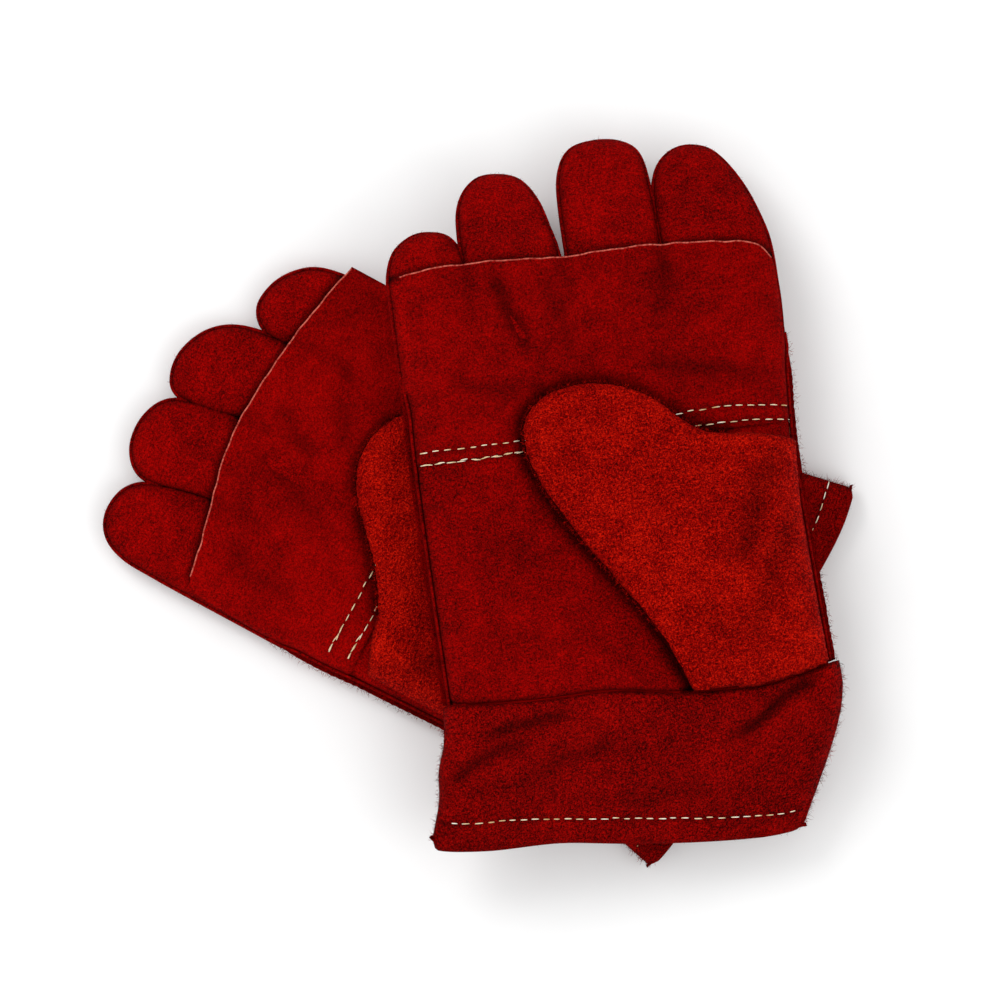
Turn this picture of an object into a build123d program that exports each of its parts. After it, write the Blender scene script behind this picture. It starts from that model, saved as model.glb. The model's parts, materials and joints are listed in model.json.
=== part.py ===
from build123d import *

import os
from math import atan, atan2, cos, degrees, radians, sin

# A pair of short-cuff welding gloves in split leather, lying palm up, the right glove across the left.
# Each glove is drawn palm up in its own frame: X runs across the hand to the thumb side, Y from the
# wrist seam to the fingertips, and Z up from the back of the hand. The right glove is drawn as it is,
# and the left is the same build, mirrored. Both are laid in the pair's frame, with +Z up and the origin
# under the middle of the pair, on the surface it lies on. Lengths are in millimetres.

os.makedirs("parts", exist_ok=True)

# Materials
LEATHER = 1.6
FLEECE = 1.2
FLEECE_GAP = 0.2
THREAD = 0.8

# Hand, shared by both gloves
LITTLE_EDGE = -73.0
THUMB_EDGE = 69.0
CROTCH_Y = 122.0
HINGE_Y = 163.0
HINGE_GAP = 0.4
EDGE_ROUND = 6.0
SEAM_GAP = 1.1
SEAM_Z = 7.3
WELT_THICK = 2.2
WELT_PROUD = 2.6
WELT_END_Y = CROTCH_Y - 3.0
STUB_START = -(HINGE_Y - CROTCH_Y + 5.0)
STUB_END = 12.0
THUMB_HOLE = ((30.0, 12.0), (62.0, 12.0), (62.0, 72.0), (44.0, 76.0))
LINING_GAP = 0.6

# Palm patch and its two rows of stitching
PATCH_LOW_Y = 88.0
PATCH_THICK = 1.6
PATCH_INSET = 2.0
PATCH_ROUND = 9.0
PATCH_ROWS_Y = (91.0, 95.5)
PATCH_ROW_INSET = 4.0
PATCH_GAP = 0.6

# Fingers, beyond the edge of the patch
FINGER_THICK = 16.0
FINGER_ROUND = 5.5
FOURCHETTE_MARGIN = 3.4
FOURCHETTE_STOP = 0.3
TIP_FULLNESS = 1.0
FINGER_SPARE = 0.5

# Thumb, folded over the palm. It hinges on the line from its crotch to the wrist.
THUMB_CROTCH = (40.8, 89.3)
THUMB_HEEL = (18.4, 2.0)
THUMB_SIDE = (-31.0, 80.0)
THUMB_TIP = (-24.0, 108.0)
THUMB_TOP = (2.0, 113.5)
THUMB_SHOULDER = (30.0, 95.0)
THUMB_UNDER = 2.4
THUMB_RISE = 8.0
THUMB_SLOPE = 0.06
THUMB_GAP = 0.5
THUMB_SHOULDER_ROUND = 14.0
THUMB_MOUTH_MIDDLE = 48.0
THUMB_MOUTH_LONG = 62.0
THUMB_MOUTH_TALL = 4.5
HEEL_TOP_Y = 86.0
HEEL_INSET = 1.5

# Cuff
CUFF_ROUND = 4.5
HEM_WIDTH = 9.0
HEM_STITCH_Y = 8.5

# Sizes of the blocks that cut the pieces, each past the far side of the glove
PAST_TOP = 25.0
PAST_GLOVE = 400.0

# One set of values for each glove. A finger is (name, middle of its base, width, length, lean in degrees).
GLOVES = {
    "right": {
        "thick": 19.0,
        "fingers": [
            ("index", 47.5, 37.0, 38.0, -3.0),
            ("middle", 9.0, 34.0, 43.0, 0.0),
            ("ring", -29.5, 33.0, 35.5, 0.0),
            ("little", -60.0, 26.0, 17.5, 0.0),
        ],
        "finger_droop": 20.0,
        "cuff": {"mouth": (-82.0, 57.0), "depth": 54.0, "skew": 5.5, "thick": 13.0, "drop": 15.0},
        "wrist": (59.0, -68.1, 30.1),
        "turn": 7.0,
        "slope_x": -0.0835,
        "slope_y": -0.0334,
    },
    "left": {
        "thick": 16.0,
        "fingers": [
            ("index", 50.5, 33.0, 36.0, 12.0),
            ("middle", 16.5, 33.0, 40.0, 12.0),
            ("ring", -16.5, 31.5, 39.0, 12.0),
            ("little", -47.5, 29.0, 22.0, 12.0),
        ],
        "finger_droop": 0.0,
        "cuff": {"mouth": (-79.0, 77.0), "depth": 43.0, "skew": 0.0, "thick": 12.0, "drop": 0.0},
        "wrist": (62.7, -45.5, 0.0),
        "turn": 62.5,
        "slope_x": 0.0,
        "slope_y": 0.0,
    },
}
PAIR_SHIFT = (1.6, 0.2)


def across(y, z=0.0):
    """A section plane square to the hand at that distance from the wrist. Its X runs to the thumb side."""
    return Plane(origin=(0, y, z), x_dir=(1, 0, 0), z_dir=(0, -1, 0))


def bar(x0, x1, z0, z1, y0, y1, round_r):
    """A bar with rounded long edges between two sections of the hand."""
    with BuildPart() as made:
        with BuildSketch(across(y0)):
            with Locations(((x0 + x1) / 2, (z0 + z1) / 2)):
                RectangleRounded(x1 - x0, z1 - z0, round_r)
        extrude(amount=-(y1 - y0))
    return made.part


def finger_location(glove, middle, lean):
    """Where a finger's own frame sits in the glove's frame: on its hinge line, leaning and drooping."""
    place = Location((middle, HINGE_Y, glove["thick"]), (0, 0, -lean))
    return place * Location((0, 0, 0), (-glove["finger_droop"], 0, 0))


def hand_form(glove, inset):
    """The outside of the hand and of the stubs that its fingers start from, taken in by inset."""
    top, r = glove["thick"], EDGE_ROUND - inset
    with BuildPart() as made:
        add(bar(LITTLE_EDGE + inset, THUMB_EDGE - inset, inset, top - inset, -20, CROTCH_Y - inset, r))
        for _, middle, width, _, lean in glove["fingers"]:
            half = width / 2 - inset
            stub = bar(-half, half, inset, top - inset, STUB_START, STUB_END, r)
            add(Location((middle, HINGE_Y, 0), (0, 0, -lean)) * stub)
    return made.part


def finger_clearance(glove, margin):
    """The blocks past the finger hinges that the hand stays out of. They tilt with fingers that droop."""
    with BuildPart() as made:
        for _, middle, width, _, lean in glove["fingers"]:
            with Locations(finger_location(glove, middle, lean)):
                with Locations((0, PAST_TOP / 2 - HINGE_GAP - margin, -FINGER_THICK / 2)):
                    Box(width + 2 * FINGER_SPARE, PAST_TOP, FINGER_THICK + PAST_TOP)
    return made.part


def wrist_clearance(glove, margin):
    """The block on the cuff's side of the wrist seam."""
    with BuildPart() as made:
        with Locations((0, SEAM_GAP + margin - PAST_TOP, glove["thick"] / 2)):
            Box(PAST_GLOVE, 2 * PAST_TOP, 2 * PAST_TOP)
    return made.part


def thumb_hole(glove, inset):
    """The opening that joins the thumb to the hand, through the palm side."""
    with BuildPart() as made:
        with BuildSketch(Plane.XY.offset(glove["thick"] / 2)):
            with BuildLine():
                Polyline(*THUMB_HOLE, close=True)
            make_face()
            offset(amount=-inset)
        extrude(amount=PAST_TOP)
    return made.part


def hand_shell(glove, outer, inner, margin, hole):
    """One layer of the hand: what lies between two insets, with the thumb hole through its palm side."""
    with BuildPart() as made:
        add(hand_form(glove, outer))
        add(hand_form(glove, inner), mode=Mode.SUBTRACT)
        add(finger_clearance(glove, margin), mode=Mode.SUBTRACT)
        add(wrist_clearance(glove, margin), mode=Mode.SUBTRACT)
        add(thumb_hole(glove, hole), mode=Mode.SUBTRACT)
    return made.part


def hand_panel(glove, keep):
    with BuildPart() as panel:
        add(hand_shell(glove, 0, LEATHER, 0, 0))
        split(bisect_by=Plane.XY.offset(SEAM_Z), keep=keep)
    return panel.part


def hand_lining(glove):
    outer = LEATHER + FLEECE_GAP
    with BuildPart() as lining:
        add(hand_shell(glove, outer, outer + FLEECE, LINING_GAP, -HINGE_GAP))
    return lining.part


def palm_patch(glove):
    with BuildPart() as patch:
        with BuildSketch(Plane.XY.offset(glove["thick"])) as outline:
            with BuildLine():
                Polyline(
                    (LITTLE_EDGE + PATCH_INSET, PATCH_LOW_Y),
                    (THUMB_EDGE - PATCH_INSET, PATCH_LOW_Y),
                    (THUMB_EDGE - PATCH_INSET, HINGE_Y - HINGE_GAP),
                    (LITTLE_EDGE + PATCH_INSET, HINGE_Y - HINGE_GAP),
                    close=True,
                )
            make_face()
            fillet(outline.vertices().sort_by(Axis.Y)[-2:], radius=PATCH_ROUND)
        extrude(amount=PATCH_THICK)
        add(finger_clearance(glove, 0), mode=Mode.SUBTRACT)
    return patch.part


def patch_stitching(glove):
    """Two rows of thread on the patch, each kept as one low strip."""
    long = THUMB_EDGE - LITTLE_EDGE - 2 * PATCH_ROW_INSET
    middle = (THUMB_EDGE + LITTLE_EDGE) / 2
    with BuildPart() as rows:
        with BuildSketch(Plane.XY.offset(glove["thick"] + PATCH_THICK)):
            for y in PATCH_ROWS_Y:
                with Locations((middle, y)):
                    SlotOverall(long, THREAD)
        extrude(amount=THREAD / 2)
    return rows.part


def seam_welts(glove):
    """The leather strips sewn into the two side seams, and the one that runs round the wrist seam."""
    top = glove["thick"]
    first = SEAM_GAP + HINGE_GAP
    ring = SEAM_GAP - FLEECE_GAP
    proud, deep = LEATHER / 2, 2 * LEATHER
    with BuildPart() as welts:
        for x in (LITTLE_EDGE - WELT_PROUD / 2, THUMB_EDGE + WELT_PROUD / 2):
            with Locations((x, (first + WELT_END_Y) / 2, SEAM_Z)):
                Box(WELT_PROUD, WELT_END_Y - first, WELT_THICK)
        add(bar(LITTLE_EDGE - proud, THUMB_EDGE + proud, 0, top + proud, -ring, ring, EDGE_ROUND))
        add(
            bar(LITTLE_EDGE + deep, THUMB_EDGE - deep, deep, top - deep, -ring, ring, EDGE_ROUND - deep),
            mode=Mode.SUBTRACT,
        )
    return welts.part


def cuff_form(glove, inset):
    """The outside of the cuff, taken in by inset: a loft from the wrist to the mouth."""
    cuff, top = glove["cuff"], glove["thick"]
    x0, x1 = cuff["mouth"]
    mouth = Plane(
        origin=((x0 + x1) / 2, -cuff["depth"], cuff["thick"] / 2 - cuff["drop"]),
        x_dir=(cos(radians(cuff["skew"])), -sin(radians(cuff["skew"])), 0),
        z_dir=(-sin(radians(cuff["skew"])), -cos(radians(cuff["skew"])), 0),
    )
    with BuildPart() as made:
        with BuildSketch(across(-SEAM_GAP, top / 2)):
            with Locations(((LITTLE_EDGE + THUMB_EDGE) / 2, 0)):
                RectangleRounded(THUMB_EDGE - LITTLE_EDGE - 2 * inset, top - 2 * inset, EDGE_ROUND - inset)
        with BuildSketch(mouth):
            RectangleRounded(x1 - x0 - 2 * inset, cuff["thick"] - 2 * inset, CUFF_ROUND - inset)
        loft(ruled=True)
    return made.part


def cuff_seam_plane(glove):
    """The plane of the cuff's side seams, from the hand's seam down to the middle of the mouth."""
    cuff = glove["cuff"]
    rise = SEAM_Z - (cuff["thick"] / 2 - cuff["drop"])
    slope = atan(rise / cuff["depth"])
    return Plane(origin=(0, 0, SEAM_Z), x_dir=(1, 0, 0), z_dir=(0, -sin(slope), cos(slope)))


def cuff_panel(glove, keep):
    with BuildPart() as panel:
        add(cuff_form(glove, 0))
        add(cuff_form(glove, LEATHER), mode=Mode.SUBTRACT)
        split(bisect_by=cuff_seam_plane(glove), keep=keep)
    return panel.part


def mouth_block(glove, width):
    """A block over the last width of the cuff, square to its mouth."""
    cuff = glove["cuff"]
    skew = radians(cuff["skew"])
    x0, x1 = cuff["mouth"]
    face = Plane(
        origin=((x0 + x1) / 2, -cuff["depth"], 0),
        x_dir=(cos(skew), -sin(skew), 0),
        z_dir=(sin(skew), cos(skew), 0),
    )
    with BuildPart() as made:
        with BuildSketch(face.offset(-PAST_TOP)):
            Rectangle(PAST_GLOVE, PAST_GLOVE)
        extrude(amount=width + PAST_TOP)
    return made.part


def cuff_hem(glove):
    """The band of leather turned in behind the mouth of the cuff."""
    outer = LEATHER + FLEECE_GAP
    with BuildPart() as hem:
        add(cuff_form(glove, outer))
        add(cuff_form(glove, outer + FLEECE), mode=Mode.SUBTRACT)
        add(mouth_block(glove, HEM_WIDTH), mode=Mode.INTERSECT)
    return hem.part


def hem_stitching(glove):
    """The row of thread round the cuff that holds the hem, kept as one low band."""
    with BuildPart() as near:
        add(cuff_form(glove, -THREAD / 2))
        add(cuff_form(glove, 0), mode=Mode.SUBTRACT)
        add(mouth_block(glove, HEM_STITCH_Y + THREAD), mode=Mode.INTERSECT)
        add(mouth_block(glove, HEM_STITCH_Y), mode=Mode.SUBTRACT)
        split(bisect_by=cuff_seam_plane(glove), keep=Keep.TOP)
    return near.part


def thumb_top_plane(glove, inset):
    """The plane that the thumb's upper face lies in. It falls towards the wrist."""
    slope = atan(THUMB_SLOPE)
    return Plane(
        origin=(0, 0, glove["thick"] + THUMB_RISE - inset),
        x_dir=(1, 0, 0),
        z_dir=(0, -sin(slope), cos(slope)),
    )


def thumb_hinge_location(distance, beside):
    """A place along the thumb's hinge line from its heel, and beside the line, with X along it."""
    turn = degrees(atan2(THUMB_CROTCH[1] - THUMB_HEEL[1], THUMB_CROTCH[0] - THUMB_HEEL[0]))
    return Location((*THUMB_HEEL, 0), (0, 0, turn)) * Location((distance, beside, 0))


def thumb_form(glove, inset, open_by):
    """The free part of the thumb, taken in by inset, and run past its hinge line by open_by."""
    low = glove["thick"] + THUMB_UNDER + inset
    with BuildPart() as made:
        with BuildSketch(Plane.XY.offset(low)) as outline:
            with BuildLine():
                Line(THUMB_HEEL, THUMB_SIDE)
                ThreePointArc(THUMB_SIDE, THUMB_TIP, THUMB_TOP)
                Line(THUMB_TOP, THUMB_SHOULDER)
                Line(THUMB_SHOULDER, THUMB_CROTCH)
                Line(THUMB_CROTCH, THUMB_HEEL)
            make_face()
            fillet(outline.vertices().sort_by_distance(THUMB_TOP)[0], radius=THUMB_SHOULDER_ROUND)
            offset(amount=-inset, kind=Kind.INTERSECTION)
        extrude(amount=PAST_TOP)
        split(bisect_by=thumb_top_plane(glove, inset), keep=Keep.BOTTOM)
        if open_by:
            with BuildSketch(Plane.XY.offset(low)):
                with Locations(thumb_hinge_location(THUMB_MOUTH_MIDDLE, 0)):
                    Rectangle(THUMB_MOUTH_LONG, 2 * open_by)
            extrude(amount=THUMB_MOUTH_TALL)
    return made.part


def behind_thumb_hinge(gap):
    """Everything on the heel's side of the thumb's hinge line, plus the gap."""
    with BuildPart() as made:
        with BuildSketch():
            with Locations(thumb_hinge_location(THUMB_MOUTH_MIDDLE, gap - PAST_GLOVE / 2)):
                Rectangle(PAST_GLOVE, PAST_GLOVE)
        extrude(amount=PAST_GLOVE)
    return made.part


def thumb_shell(glove, outer, inner):
    with BuildPart() as made:
        add(thumb_form(glove, outer, 0))
        add(thumb_form(glove, inner, 5 * LEATHER), mode=Mode.SUBTRACT)
        add(behind_thumb_hinge(THUMB_GAP), mode=Mode.SUBTRACT)
    return made.part


def thumb_panel(glove, keep):
    slope = atan(THUMB_SLOPE / 2)
    middle = Plane(
        origin=(0, 0, glove["thick"] + (THUMB_RISE + THUMB_UNDER) / 2),
        x_dir=(1, 0, 0),
        z_dir=(0, -sin(slope), cos(slope)),
    )
    with BuildPart() as panel:
        add(thumb_shell(glove, 0, LEATHER))
        split(bisect_by=middle, keep=keep)
    return panel.part


def gusset_form(glove, inset, low):
    """The heel of the thumb between its hinge line, the side seam and the wrist seam."""
    side = THUMB_EDGE - HEEL_INSET
    with BuildPart() as made:
        with BuildSketch(Plane.XY.offset(low)):
            with BuildLine():
                Polyline(THUMB_CROTCH, (side, HEEL_TOP_Y), (side, THUMB_HEEL[1]), THUMB_HEEL, close=True)
            make_face()
            offset(amount=-inset, kind=Kind.INTERSECTION)
        extrude(amount=PAST_TOP)
        split(bisect_by=thumb_top_plane(glove, inset), keep=Keep.BOTTOM)
    return made.part


def thumb_gusset(glove):
    with BuildPart() as gusset:
        add(gusset_form(glove, 0, glove["thick"]))
        add(gusset_form(glove, LEATHER, glove["thick"] - LEATHER), mode=Mode.SUBTRACT)
        with BuildSketch(Plane.XY.offset(glove["thick"] + THUMB_UNDER + LEATHER)):
            with Locations(thumb_hinge_location(THUMB_MOUTH_MIDDLE, 0)):
                Rectangle(THUMB_MOUTH_LONG, 6 * LEATHER)
        extrude(amount=THUMB_MOUTH_TALL, mode=Mode.SUBTRACT)
        with BuildSketch(Plane.XY.offset(glove["thick"])):
            with Locations((0, PATCH_LOW_Y - PATCH_GAP + PAST_GLOVE / 2)):
                Rectangle(PAST_GLOVE, PAST_GLOVE)
        extrude(amount=PATCH_THICK + PATCH_GAP, mode=Mode.SUBTRACT)
    return gusset.part


def finger_form(width, length, inset, open_by):
    """A finger in its own frame, taken in by inset: its hinge line is the X axis and it points along Y."""
    half, tip = width / 2 - inset, length - inset
    shoulder = max(tip - TIP_FULLNESS * half, 1.5)
    with BuildPart() as made:
        with BuildSketch(Plane.XY.offset(-FINGER_THICK + inset)):
            with BuildLine():
                Polyline((-half, shoulder), (-half, -open_by), (half, -open_by), (half, shoulder))
                ThreePointArc((half, shoulder), (0, tip), (-half, shoulder))
            make_face()
        extrude(amount=FINGER_THICK - 2 * inset)
        long_edges = made.edges().filter_by(Axis.Z, reverse=True).filter_by(Axis.X, reverse=True)
        fillet(long_edges, radius=FINGER_ROUND - inset)
    return made.part


def finger_shell(width, length, outer, inner):
    with BuildPart() as made:
        add(finger_form(width, length, outer, -HINGE_GAP))
        add(finger_form(width, length, inner, STUB_END), mode=Mode.SUBTRACT)
    return made.part


def fourchette_blocks(name, width, length):
    """The blocks that hold a finger's inner side walls, which are strips of their own."""
    sides = {"index": (-1,), "little": (1,)}.get(name, (-1, 1))
    last = length - FOURCHETTE_STOP * width
    with BuildPart() as made:
        for side in sides:
            with Locations((side * width / 2, last - PAST_TOP, -FINGER_THICK / 2)):
                Box(2.5 * LEATHER, 2 * PAST_TOP, FINGER_THICK - 2 * FOURCHETTE_MARGIN)
    return made.part


def finger_panel(name, width, length, keep):
    with BuildPart() as panel:
        add(finger_shell(width, length, 0, LEATHER))
        add(fourchette_blocks(name, width, length), mode=Mode.SUBTRACT)
        split(bisect_by=Plane.XY.offset(-FINGER_THICK / 2), keep=keep)
    return panel.part


def finger_fourchettes(name, width, length):
    with BuildPart() as strips:
        add(finger_shell(width, length, 0, LEATHER))
        add(fourchette_blocks(name, width, length), mode=Mode.INTERSECT)
    return strips.part


def finger_lining(width, length):
    outer = LEATHER + FLEECE_GAP
    with BuildPart() as lining:
        add(finger_shell(width, length, outer, outer + FLEECE))
    return lining.part


def glove_plane(glove):
    """The glove's frame in the pair's frame, tilted by the slopes of what it lies on."""
    turn = radians(glove["turn"])
    across_dir = Vector(cos(turn), sin(turn), glove["slope_x"])
    along_dir = Vector(-sin(turn), cos(turn), glove["slope_y"])
    x, y, z = glove["wrist"]
    return Plane(
        origin=(x + PAIR_SHIFT[0], y + PAIR_SHIFT[1], z),
        x_dir=across_dir,
        z_dir=across_dir.cross(along_dir),
    )


def glove_pieces(glove):
    """Every piece of a glove in the glove's own frame, as a right glove, by name."""
    pieces = {
        "back_panel": hand_panel(glove, Keep.BOTTOM),
        "palm_panel": hand_panel(glove, Keep.TOP),
        "palm_patch": palm_patch(glove),
        "patch_stitching": patch_stitching(glove),
        "seam_welts": seam_welts(glove),
        "hand_lining": hand_lining(glove),
        "cuff_palm": cuff_panel(glove, Keep.TOP),
        "cuff_back": cuff_panel(glove, Keep.BOTTOM),
        "cuff_hem": cuff_hem(glove),
        "hem_stitching": hem_stitching(glove),
        "thumb_gusset": thumb_gusset(glove),
        "thumb_front": thumb_panel(glove, Keep.TOP),
        "thumb_back": thumb_panel(glove, Keep.BOTTOM),
        "thumb_lining": thumb_shell(glove, LEATHER + FLEECE_GAP, LEATHER + FLEECE_GAP + FLEECE),
    }
    for name, middle, width, length, lean in glove["fingers"]:
        place = finger_location(glove, middle, lean)
        made = {
            "front": finger_panel(name, width, length, Keep.TOP),
            "back": finger_panel(name, width, length, Keep.BOTTOM),
            "fourchette": finger_fourchettes(name, width, length),
            "lining": finger_lining(width, length),
        }
        for part_name, part in made.items():
            pieces[f"{name}_{part_name}"] = place * part
    return pieces


def lay_glove(side, glove):
    """Mirrors a left glove, lays it in the pair's frame and writes each of its pieces."""
    place = glove_plane(glove).location
    laid = []
    for name, piece in glove_pieces(glove).items():
        if side == "left":
            piece = mirror(piece, about=Plane.YZ)
        piece = place * piece
        piece.label = f"{side}_{name}"
        export_step(piece, f"parts/{side}_{name}.step")
        laid.append(piece)
    return laid


pair = [piece for side, glove in GLOVES.items() for piece in lay_glove(side, glove)]
box = Compound(children=pair).bounding_box()
print("pair box", box.min, box.max, "middle", box.center())
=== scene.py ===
import json
import math

import bpy
import numpy as np
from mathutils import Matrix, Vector, geometry


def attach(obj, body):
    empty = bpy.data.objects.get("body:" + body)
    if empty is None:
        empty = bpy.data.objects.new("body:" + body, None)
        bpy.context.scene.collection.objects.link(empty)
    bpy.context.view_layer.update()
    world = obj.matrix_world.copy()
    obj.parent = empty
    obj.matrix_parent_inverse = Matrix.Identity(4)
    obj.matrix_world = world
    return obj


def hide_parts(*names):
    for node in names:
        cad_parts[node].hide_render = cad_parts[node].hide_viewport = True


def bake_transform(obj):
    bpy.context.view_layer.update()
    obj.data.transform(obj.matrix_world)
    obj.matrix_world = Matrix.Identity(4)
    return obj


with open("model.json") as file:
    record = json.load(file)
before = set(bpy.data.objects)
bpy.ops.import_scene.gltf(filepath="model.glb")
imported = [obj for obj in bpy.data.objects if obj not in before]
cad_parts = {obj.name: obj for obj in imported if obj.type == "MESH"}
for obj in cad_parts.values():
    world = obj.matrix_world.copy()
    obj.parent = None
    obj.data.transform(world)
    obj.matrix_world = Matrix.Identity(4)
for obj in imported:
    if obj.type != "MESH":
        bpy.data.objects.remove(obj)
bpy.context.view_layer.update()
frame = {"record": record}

mm = 0.001

# The two gloves as they lie. Lengths are in millimetres in the glove's own frame: u runs to the thumb
# side, v from the wrist seam to the fingertips and z up from the back of the hand.
gloves = {
    "right": {"thick": 19.0, "turn": 7.0, "slopeX": -0.0835, "slopeY": -0.0334, "droop": 20.0,
              "cuffDepth": 54.0, "cuffThick": 13.0, "cuffDrop": 15.0, "hingeU": 47.5, "mirror": 1},
    "left": {"thick": 16.0, "turn": 62.5, "slopeX": 0.0, "slopeY": 0.0, "droop": 0.0,
             "cuffDepth": 43.0, "cuffThick": 12.0, "cuffDrop": 0.0, "hingeU": 50.5, "mirror": -1},
}
seamZ = 7.3
hingeV = 163.0
fingerDeep = 16.0
leather = 1.5


def smooth(t):
    t = np.clip(t, 0, 1)
    return t * t * (3 - 2 * t)


def rounded(t):  # a quarter circle: steep at 0, level at 1
    return np.sqrt(np.maximum(1 - (1 - np.clip(t, 0, 1)) ** 2, 0))


def pairs(u, v):  # two equal arrays as rows of flat points
    return np.stack([np.ravel(u), np.ravel(v)], 1)


def lower(a, b, k=1.6):  # the lower of two heights, with a soft corner
    h = np.clip(0.5 + 0.5 * (b - a) / k, 0, 1)
    return b + (a - b) * h - k * h * (1 - h)


def placeGlove(side):
    g = gloves[side]
    turn = math.radians(g["turn"])
    x = np.array([math.cos(turn), math.sin(turn), g["slopeX"]])
    y = np.array([-math.sin(turn), math.cos(turn), g["slopeY"]])
    z = np.cross(x, y)
    x, z = x / np.linalg.norm(x), z / np.linalg.norm(z)
    g["axes"] = np.stack([x * g["mirror"], np.cross(z, x), z])
    joint = next(j for j in frame["record"]["behaviour"]["joints"] if j["name"] == side + "_index_bend")
    hinge = np.array([g["hingeU"], hingeV, g["thick"]])
    g["origin"] = np.array(joint["pos_m"]) - hinge @ g["axes"] * mm
    v = np.arange(140, 240, 0.5)
    pitch = -math.radians(g["droop"]) * smooth((v - 151) / 24)
    g["spine"] = (v, 140 + np.cumsum(np.cos(pitch)) * 0.5 - 0.5, np.cumsum(np.sin(pitch)) * 0.5, pitch)


def lay(side, u, v, z):  # from the glove's own frame to where it lies, in metres
    g = gloves[side]
    u, v, z = np.broadcast_arrays(np.asarray(u, float), v, z)
    table, along, rise, pitch = g["spine"]
    p = np.interp(v, table, pitch)
    far = v > table[0]
    up = z - g["thick"]
    y = np.where(far, np.interp(v, table, along) - up * np.sin(p), v)
    w = np.where(far, g["thick"] + np.interp(v, table, rise) + up * np.cos(p), z)
    t = np.clip(-v / g["cuffDepth"], 0, 1.3)
    fall = t * t / (t + 0.12) * 1.12
    w = np.where(v < 0, w * (1 - t * (1 - g["cuffThick"] / g["thick"])) - g["cuffDrop"] * fall, w)
    return g["origin"] + np.stack([u, y, w], -1) @ g["axes"] * mm


# Outlines

def evenly(line, step):
    run = np.concatenate([[0], np.cumsum(np.linalg.norm(np.diff(line, axis=0), axis=1))])
    at = np.linspace(0, run[-1], max(2, round(run[-1] / step)) + 1)
    return np.stack([np.interp(at, run, line[:, k]) for k in range(line.shape[1])], 1)


def curve(points, step=1.4):  # a smooth line through the points
    p = np.array(points, float)
    q = np.vstack([2 * p[0] - p[1], p, 2 * p[-1] - p[-2]])
    t = np.linspace(0, 1, 20, endpoint=False)[:, None]
    runs = []
    for a, b, c, d in zip(q, q[1:], q[2:], q[3:]):
        bend, twist = 2 * a - 5 * b + 4 * c - d, 3 * b - a - 3 * c + d
        runs.append(0.5 * (2 * b + (c - a) * t + bend * t**2 + twist * t**3))
    return evenly(np.vstack(runs + [p[-1:]]), step)


def joined(*lines):  # a closed outline of lines that meet end to end
    return np.vstack([line[:-1] for line in lines])


def nearest(points, line, closed=True):  # distance to a line, and the nearest point on it
    a = line
    b = np.roll(line, -1, axis=0) if closed else line[1:]
    a = a if closed else line[:-1]
    ab = b - a
    length = np.maximum((ab**2).sum(1), 1e-9)
    found, spots = [], []
    for part in np.array_split(points, len(points) // 1500 + 1):
        t = np.clip(((part[:, None] - a) * ab).sum(2) / length, 0, 1)
        spot = a + ab * t[..., None]
        gap = ((part[:, None] - spot) ** 2).sum(2)
        pick = gap.argmin(1)
        found.append(np.sqrt(gap[np.arange(len(part)), pick]))
        spots.append(spot[np.arange(len(part)), pick])
    return np.concatenate(found), np.concatenate(spots)


def within(points, ring):
    a, b = ring, np.roll(ring, -1, axis=0)
    inside = []
    for part in np.array_split(points, len(points) // 1500 + 1):
        x, y = part[:, None, 0], part[:, None, 1]
        crossing = (a[:, 1] > y) != (b[:, 1] > y)
        rise = np.where(b[:, 1] == a[:, 1], 1e-9, b[:, 1] - a[:, 1])
        at = (b[:, 0] - a[:, 0]) * (y - a[:, 1]) / rise + a[:, 0]
        inside.append((crossing & (x < at)).sum(1) % 2 == 1)
    return np.concatenate(inside)


def outward(ring):
    along = np.roll(ring, -1, axis=0) - np.roll(ring, 1, axis=0)
    n = np.stack([along[:, 1], -along[:, 0]], 1) / np.maximum(np.linalg.norm(along, axis=1), 1e-9)[:, None]
    x, y = ring.T
    turning = (x * np.roll(y, -1) - np.roll(x, -1) * y).sum()
    return n * np.sign(turning)


def awayFrom(line, ring):  # the way out of an outline, along a line on its edge
    along = np.gradient(line, axis=0)
    out = np.stack([-along[:, 1], along[:, 0]], 1) / np.linalg.norm(along, axis=1)[:, None]
    return out * np.where(within(line + out * 1.5, ring), -1, 1)[:, None]


def shifted(line, aside):  # a line moved along u
    return line + pairs(aside, 0 * line[:, 1])


def grown(ring, amount):
    moved = ring + outward(ring) * amount
    gap = nearest(moved, ring)[0]
    return moved[gap > abs(amount) * 0.93]


def filled(ring, step=1.7, rims=(0.5, 1.2, 2.2)):  # a flat mesh in an outline, with fine rows at its edge
    points = [ring]
    for rim in rims:
        points.append(grown(ring, -rim))
    low, high = ring.min(0), ring.max(0)
    rows = np.arange(low[1], high[1], step * 0.87)
    mesh = []
    for k, y in enumerate(rows):
        row = np.arange(low[0] + (k % 2) * step / 2, high[0], step)
        mesh.append(pairs(row, np.full_like(row, y)))
    mesh = np.vstack(mesh)
    mesh = mesh[within(mesh, ring)]
    mesh = mesh[nearest(mesh, ring)[0] > rims[-1] + step * 0.6]
    points = np.vstack(points + [mesh])
    n = len(ring)
    edges = [(k, (k + 1) % n) for k in range(n)]
    spots, _, faces, *_ = geometry.delaunay_2d_cdt([Vector(p) for p in points], edges, [], 0, 1e-5, False)
    spots = np.array([tuple(p) for p in spots])
    faces = np.array([tuple(f) for f in faces])
    faces = faces[within(spots[faces].mean(1), ring)]
    used = np.unique(faces)
    again = np.full(len(spots), -1)
    again[used] = np.arange(len(used))
    return spots[used], again[faces]


def gridFaces(rows, columns, wrap=False):
    faces = []
    for r in range(rows - 1):
        for c in range(columns if wrap else columns - 1):
            d = (c + 1) % columns
            faces.append((r * columns + c, r * columns + d, (r + 1) * columns + d, (r + 1) * columns + c))
    return np.array(faces)


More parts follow.
